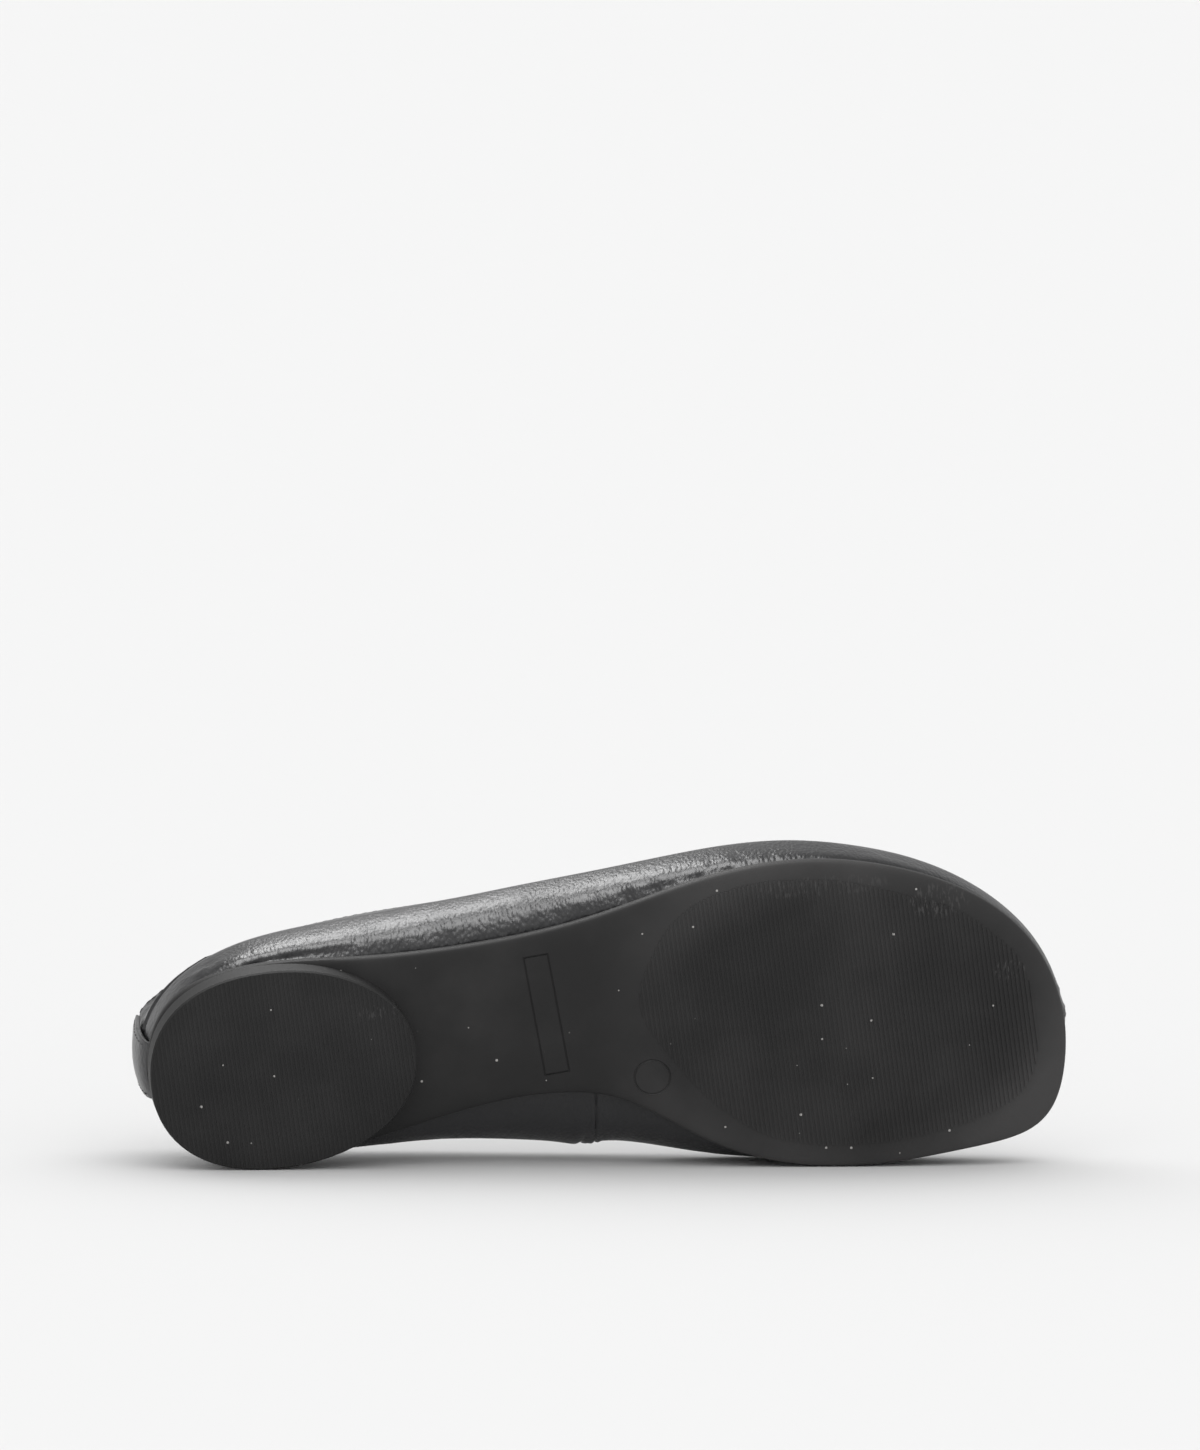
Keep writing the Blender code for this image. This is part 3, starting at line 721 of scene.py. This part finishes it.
def dust_mask(tree, below, place):
    """Return where dust lies: in specks on the faces that meet the ground, not on the walls."""
    specks = tree.nodes.new("ShaderNodeGroup")
    specks.node_tree = SPECKS
    tree.links.new(below, specks.inputs["Vector"])
    facing = add_node(tree, "ShaderNodeVectorMath", operation="DOT_PRODUCT")
    facing.inputs[1].default_value = LYING.to_3x3() @ Vector((0.0, 0.0, -1.0))
    tree.links.new(place.outputs["Normal"], facing.inputs[0])
    on_face = math_node(tree, "GREATER_THAN", facing.outputs["Value"], 0.8)
    return math_node(tree, "MULTIPLY", specks.outputs["Mask"], on_face)


def make_rubber(name, colour, worn_and_sheen_colour, roughness, field, scuffs):
    """Moulded black rubber with a fine matt skin, worn patches, scuffs, some dust and a painted
    highlight round its tread.
    """
    material, tree, shader, place = start_material(name)
    below = stand_up(tree, place)
    patches = add_node(tree, "ShaderNodeTexNoise", Scale=26.0, Detail=4.0, Roughness=0.55)
    skin = add_node(tree, "ShaderNodeTexNoise", Scale=3200.0, Detail=2.0)
    for texture in (patches, skin):
        tree.links.new(place.outputs["Object"], texture.inputs["Vector"])
    wear_and_sheen = rubber_wear_and_border_sheen(tree, below, patches.outputs["Fac"], field, scuffs)
    tone = mix_colours(tree, wear_and_sheen, colour, worn_and_sheen_colour)
    dusty = mix_colours(tree, dust_mask(tree, below, place), tone, DUST_GREY)
    tree.links.new(dusty, shader.inputs["Base Color"])
    add_relief(tree, shader, skin.outputs["Fac"], 0.15, 0.0001)
    matt = range_node(tree, patches.outputs["Fac"], 0.3, 0.7, roughness, roughness + 0.08)
    tree.links.new(matt, shader.inputs["Roughness"])
    shader.inputs["Specular IOR Level"].default_value = 0.25
    return material


# Each scuff: its centre, its half size and its strength
SOLE_SCUFFS = (
    ((0.2312, -0.0150), (0.0045, 0.0028), 1.6),
    ((0.2120, -0.0365), (0.0090, 0.0050), 0.9),
    ((0.1800, -0.0430), (0.0200, 0.0030), 0.6),
)
# The lighter colour paints the worn patches, the scuffs and the painted highlight on the tread's
# border.
SOLE_RUBBER = make_rubber(
    "black_sole_rubber", (0.0124, 0.0122, 0.0123, 1.0), (0.042, 0.0410, 0.0410, 1.0), 0.55,
    TREAD_FIELD, SOLE_SCUFFS,
)


def press_to_sole(piece):
    """Bend a piece that was made flat so that it follows the sole's underside."""
    for corner in piece.data.vertices:
        corner.co.z += underside(corner.co.x)


def cut_from(piece, tool, operation="DIFFERENCE"):
    """Cut one piece with another and throw the tool away."""
    select_only(piece)
    cut = piece.modifiers.new("cut", "BOOLEAN")
    cut.operation = operation
    cut.solver = "EXACT"
    cut.object = tool
    bpy.ops.object.modifier_apply(modifier=cut.name)
    bpy.data.objects.remove(tool, do_unlink=True)


def make_plate_groove():
    """Return a thin rectangular frame, bent to the sole, that cuts the plate's groove."""
    bpy.ops.object.select_all(action="DESELECT")
    corners = [Vector((*corner, 0.0)) for corner in PLATE_CORNERS]
    middle = sum(corners, Vector()) / 4.0
    rise = corners[3] - corners[0]
    width = (corners[1] - corners[0]).length
    length = rise.length
    bpy.ops.mesh.primitive_grid_add(x_subdivisions=8, y_subdivisions=24, size=1.0, location=middle)
    tool = bpy.context.object
    tool.scale = (width, length, 1.0)
    tool.rotation_euler.z = math.atan2(rise.y, rise.x) - math.pi / 2.0
    bpy.ops.object.transform_apply(location=True, rotation=True, scale=True)
    bpy.ops.object.mode_set(mode="EDIT")
    bpy.ops.mesh.select_all(action="SELECT")
    bpy.ops.mesh.inset(thickness=GROOVE_WIDTH, depth=0.0)
    bpy.ops.mesh.delete(type="FACE")
    bpy.ops.mesh.select_all(action="SELECT")
    lift = {"value": (0.0, 0.0, 2.0 * GROOVE_DEPTH)}
    bpy.ops.mesh.extrude_region_move(TRANSFORM_OT_translate=lift)
    bpy.ops.mesh.select_all(action="SELECT")
    bpy.ops.transform.translate(value=(0.0, 0.0, -GROOVE_DEPTH))
    bpy.ops.mesh.normals_make_consistent(inside=False)
    bpy.ops.object.mode_set(mode="OBJECT")
    press_to_sole(tool)
    return tool


def make_ring_groove():
    """Return a thin ring, bent to the sole, that cuts the round groove."""
    bpy.ops.object.select_all(action="DESELECT")
    bpy.ops.mesh.primitive_torus_add(
        location=(*RING_CENTRE, 0.0), major_radius=RING_RADIUS, minor_radius=RING_GROOVE,
        major_segments=64, minor_segments=10,
    )
    tool = bpy.context.object
    bpy.ops.object.transform_apply(location=True, rotation=True, scale=True)
    press_to_sole(tool)
    return tool


sole = copy_solid("outsole", "rubber_outsole")
smooth_out(sole, 2)
cut_from(sole, make_plate_groove())
cut_from(sole, make_ring_groove())
select_only(sole)
bpy.ops.object.shade_smooth_by_angle(angle=math.radians(35))
lay_down(sole, SOLE_RUBBER, ["outsole"])

# Tread ribs
# The forefoot's tread is a field of fine low ribs across the sole, moulded with it, inside a plain
# border.
RIB_PITCH = 0.0012
RIB_WIDTH = 0.00062
RIB_RISE = 0.00016
TREAD_OUTLINE = (
    (0.1440, -0.0380), (0.1593, -0.0444), (0.1754, -0.0452), (0.1895, -0.0433), (0.2021, -0.0393),
    (0.2181, -0.0328), (0.2287, -0.0240), (0.2340, -0.0178), (0.2372, -0.0082), (0.2387, 0.0011),
    (0.2374, 0.0130), (0.2333, 0.0196), (0.2221, 0.0249), (0.2084, 0.0278), (0.1948, 0.0292),
    (0.1727, 0.0275), (0.1596, 0.0223), (0.1379, -0.0002), (0.1317, -0.0130), (0.1348, -0.0254),
)


def outline_block(name, points, height):
    """Return a block whose outline is a smooth closed curve through points."""
    bpy.ops.object.select_all(action="DESELECT")
    curve = bpy.data.curves.new(name, "CURVE")
    curve.dimensions = "2D"
    curve.fill_mode = "BOTH"
    curve.extrude = height
    curve.resolution_u = 6
    spline = curve.splines.new("BEZIER")
    spline.bezier_points.add(len(points) - 1)
    spline.use_cyclic_u = True
    for knot, point in zip(spline.bezier_points, points):
        knot.co = (*point, 0.0)
        knot.handle_left_type = "AUTO"
        knot.handle_right_type = "AUTO"
    block = bpy.data.objects.new(name, curve)
    bpy.context.scene.collection.objects.link(block)
    select_only(block)
    bpy.ops.object.convert(target="MESH")
    block = bpy.context.object
    bpy.ops.object.mode_set(mode="EDIT")
    bpy.ops.mesh.select_all(action="SELECT")
    bpy.ops.mesh.remove_doubles(threshold=0.000001)
    bpy.ops.mesh.normals_make_consistent(inside=False)
    bpy.ops.object.mode_set(mode="OBJECT")
    return block


def make_ribs(name, start, count, reach, across, outline):
    """Model one rib, repeat it along the sole, turn the row and trim it to an outline."""
    bpy.ops.object.select_all(action="DESELECT")
    bpy.ops.mesh.primitive_cube_add(size=1.0, location=(start, across, 0.0))
    ribs = bpy.context.object
    ribs.name = name
    ribs.data.name = name
    ribs.scale = (RIB_WIDTH, reach, 2.0 * RIB_RISE)
    bpy.ops.object.transform_apply(location=True, rotation=True, scale=True)
    bpy.ops.object.mode_set(mode="EDIT")
    bpy.ops.mesh.select_mode(type="EDGE")
    bpy.ops.mesh.select_all(action="DESELECT")
    bpy.ops.object.mode_set(mode="OBJECT")
    for edge in ribs.data.edges:
        ends = [ribs.data.vertices[index].co for index in edge.vertices]
        edge.select = abs(ends[0].y - ends[1].y) > 0.5 * reach
    bpy.ops.object.mode_set(mode="EDIT")
    bpy.ops.mesh.subdivide(number_cuts=13)
    bpy.ops.object.mode_set(mode="OBJECT")
    row = ribs.modifiers.new("row", "ARRAY")
    row.count = count
    row.use_relative_offset = False
    row.use_constant_offset = True
    row.constant_offset_displace = (RIB_PITCH, 0.0, 0.0)
    bpy.ops.object.modifier_apply(modifier=row.name)
    pivot = Matrix.Translation((start, across, 0.0))
    ribs.data.transform(pivot @ Matrix.Rotation(SOLE_TURN, 4, "Z") @ pivot.inverted())
    cut_from(ribs, outline_block(name + "_outline", outline, 0.002), "INTERSECT")
    ribs.name = name
    return ribs


tread = make_ribs("tread_ribs", 0.1290, 96, 0.100, -0.004, TREAD_OUTLINE)
press_to_sole(tread)
lay_down(tread, SOLE_RUBBER)

# Heel
# The heel is a low oval block of the same rubber, cemented under the sole. Its walls are plain and
# its ground face has the same fine ribs.
HEEL_CENTRE = (0.03305, -0.00323)
HEEL_HALF = (0.03565, 0.0273)
HEEL_ROUNDNESS = 2.15
HEEL_TURN = math.radians(-2.6)
HEEL_BOW = 0.0028
HEEL_SCUFFS = (
    ((0.0600, -0.0172), (0.0040, 0.0022), 1.8),
    ((0.0660, -0.0165), (0.0009, 0.0022), 3.5),
)
HEEL_RUBBER = make_rubber(
    "black_heel_rubber", (0.0108, 0.0107, 0.0108, 1.0), (0.034, 0.0334, 0.0334, 1.0), 0.55,
    None, HEEL_SCUFFS,
)
heel = copy_solid("heel", "rubber_heel")
select_only(heel)
bpy.ops.object.shade_smooth_by_angle(angle=math.radians(35))
lay_down(heel, HEEL_RUBBER, ["heel"])


def heel_oval(inset, steps):
    """Return the points of the heel's egg-shaped outline, moved in by an inset."""
    power = 2.0 / HEEL_ROUNDNESS
    points = []
    for step in range(steps):
        turn = 2.0 * math.pi * step / steps
        across = math.copysign(abs(math.sin(turn)) ** power, math.sin(turn))
        along = math.copysign(abs(math.cos(turn)) ** power, math.cos(turn))
        bow = HEEL_BOW * (1.0 - across * across)
        spot = Vector(((HEEL_HALF[0] - inset) * along + bow, (HEEL_HALF[1] - inset) * across))
        spot.rotate(Matrix.Rotation(HEEL_TURN, 2))
        points.append((HEEL_CENTRE[0] + spot.x, HEEL_CENTRE[1] + spot.y))
    return points


heel_ribs = make_ribs("heel_ribs", -0.0030, 66, 0.062, -0.0033, heel_oval(0.0005, 60))
lay_down(heel_ribs, HEEL_RUBBER)

# Floor
# The shoe lies on a plain pale table top.
bpy.ops.object.select_all(action="DESELECT")
bpy.ops.mesh.primitive_circle_add(
    vertices=128, radius=9.0, fill_type="NGON", location=(0.0, 0.0, -0.0001),
)
floor = bpy.context.object
floor.name = "floor"
bpy.ops.object.transform_apply(location=True, rotation=True, scale=True)
PALE_FLOOR = bpy.data.materials.new("pale_floor")
PALE_FLOOR.use_nodes = True
floor_shader = PALE_FLOOR.node_tree.nodes["Principled BSDF"]
floor_shader.inputs["Base Color"].default_value = (0.69, 0.69, 0.69, 1.0)
floor_shader.inputs["Roughness"].default_value = 0.9
floor_shader.inputs["Specular IOR Level"].default_value = 0.0
floor.data.materials.append(PALE_FLOOR)

# Light
# A broad soft light hangs over the table, a weaker one lights it from the camera's side, and pale
# walls stand all round. Two pale cards above the shoe show only as the sheen on its leather.
WALL_GLOW = 0.85
CEILING_GLOW = 0.46
world = bpy.data.worlds.new("studio")
bpy.context.scene.world = world
world.use_nodes = True
studio = world.node_tree
walls = studio.nodes["Background"]
walls.inputs["Color"].default_value = (1.0, 1.0, 1.0, 1.0)
look = studio.nodes.new("ShaderNodeTexCoord")
heading = studio.nodes.new("ShaderNodeSeparateXYZ")
studio.links.new(look.outputs["Generated"], heading.inputs["Vector"])
towards_walls = math_node(studio, "SUBTRACT", 1.0, heading.outputs["Z"], clamp=True)
brightness = math_node(studio, "MULTIPLY", towards_walls, WALL_GLOW - CEILING_GLOW)
brightness = math_node(studio, "ADD", brightness, CEILING_GLOW)
studio.links.new(brightness, walls.inputs["Strength"])


def add_soft_light(name, energy, spread, tilt):
    """Add a wide soft light that tilts about the shoe's length and doesn't show as gloss."""
    bpy.ops.object.select_all(action="DESELECT")
    bpy.ops.object.light_add(type="SUN", rotation=(math.radians(tilt), 0.0, 0.0))
    light = bpy.context.object
    light.name = name
    light.data.energy = energy
    light.data.angle = math.radians(spread)
    light.visible_glossy = False


def hang_card(name, glow, far, tilt, side, wide, long):
    """Hang a pale card at a distance from the shoe, facing it, that lights only glossy surfaces."""
    turn = Euler((math.radians(tilt), math.radians(side), 0.0))
    place = turn.to_matrix() @ Vector((0.0, 0.0, far))
    bpy.ops.object.select_all(action="DESELECT")
    bpy.ops.object.light_add(type="AREA", location=place, rotation=turn)
    card = bpy.context.object
    card.name = name
    card.data.shape = "RECTANGLE"
    card.data.size = wide
    card.data.size_y = long
    card.data.energy = glow * math.pi * wide * long
    card.visible_diffuse = False


add_soft_light("softbox", 2.0, 100.0, -30.0)
add_soft_light("front_fill", 1.3, 70.0, 62.0)
hang_card("back_card", 11.0, 0.45, -22.0, -13.0, 0.13, 0.24)
hang_card("front_card", 12.0, 0.8, 28.0, -12.0, 0.30, 0.70)

# Camera
# The camera stands far off with a long lens, low over the table, and is rolled a little.
CAMERA_PLACE = (-0.739752, -5.949468, 0.645692)
CAMERA_TURN = (84.95762, -0.53034, -7.03686)
camera_data = bpy.data.cameras.new("camera")
camera_data.sensor_width = 36.0
camera_data.lens = 561.6
camera_data.clip_end = 60.0
camera = bpy.data.objects.new("camera", camera_data)
camera.location = CAMERA_PLACE
camera.rotation_euler = Euler([math.radians(turn) for turn in CAMERA_TURN])
bpy.context.scene.collection.objects.link(camera)
bpy.context.scene.camera = camera
bpy.context.scene.view_settings.view_transform = "Standard"

bpy.context.view_layer.update()
